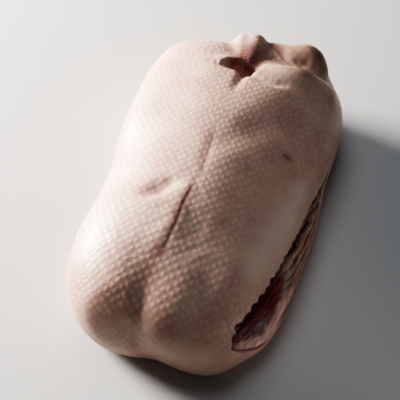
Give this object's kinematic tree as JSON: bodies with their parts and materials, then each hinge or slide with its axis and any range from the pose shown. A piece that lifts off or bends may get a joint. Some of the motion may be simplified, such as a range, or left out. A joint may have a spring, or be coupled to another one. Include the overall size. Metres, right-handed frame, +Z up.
{
  "type": "whole raw goose",
  "caption": "Plucked raw goose lying on its back, breast up, legs tucked under the skin, wings cut off at the shoulders so that flesh and ribs show.",
  "frame": {"origin": "centre of the bounding box in X and Y, at the surface the bird lies on", "axes": "+Z up from the back to the breast, +Y toward the tail, +X toward the bird's right side"},
  "size_m": [0.2396, 0.4036, 0.1215],
  "materials": {
    "skin": "moist cream-pink plucked skin with raised feather holes",
    "flesh": "wet dark red meat with pinkish ribs",
    "cartilage": "wet grey-lilac gristle"
  },
  "bodies": {
    "root": {"skin": "skin", "flesh": "flesh", "shoulder_joint_right": "cartilage", "shoulder_joint_left": "cartilage"}
  },
  "joints": []
}
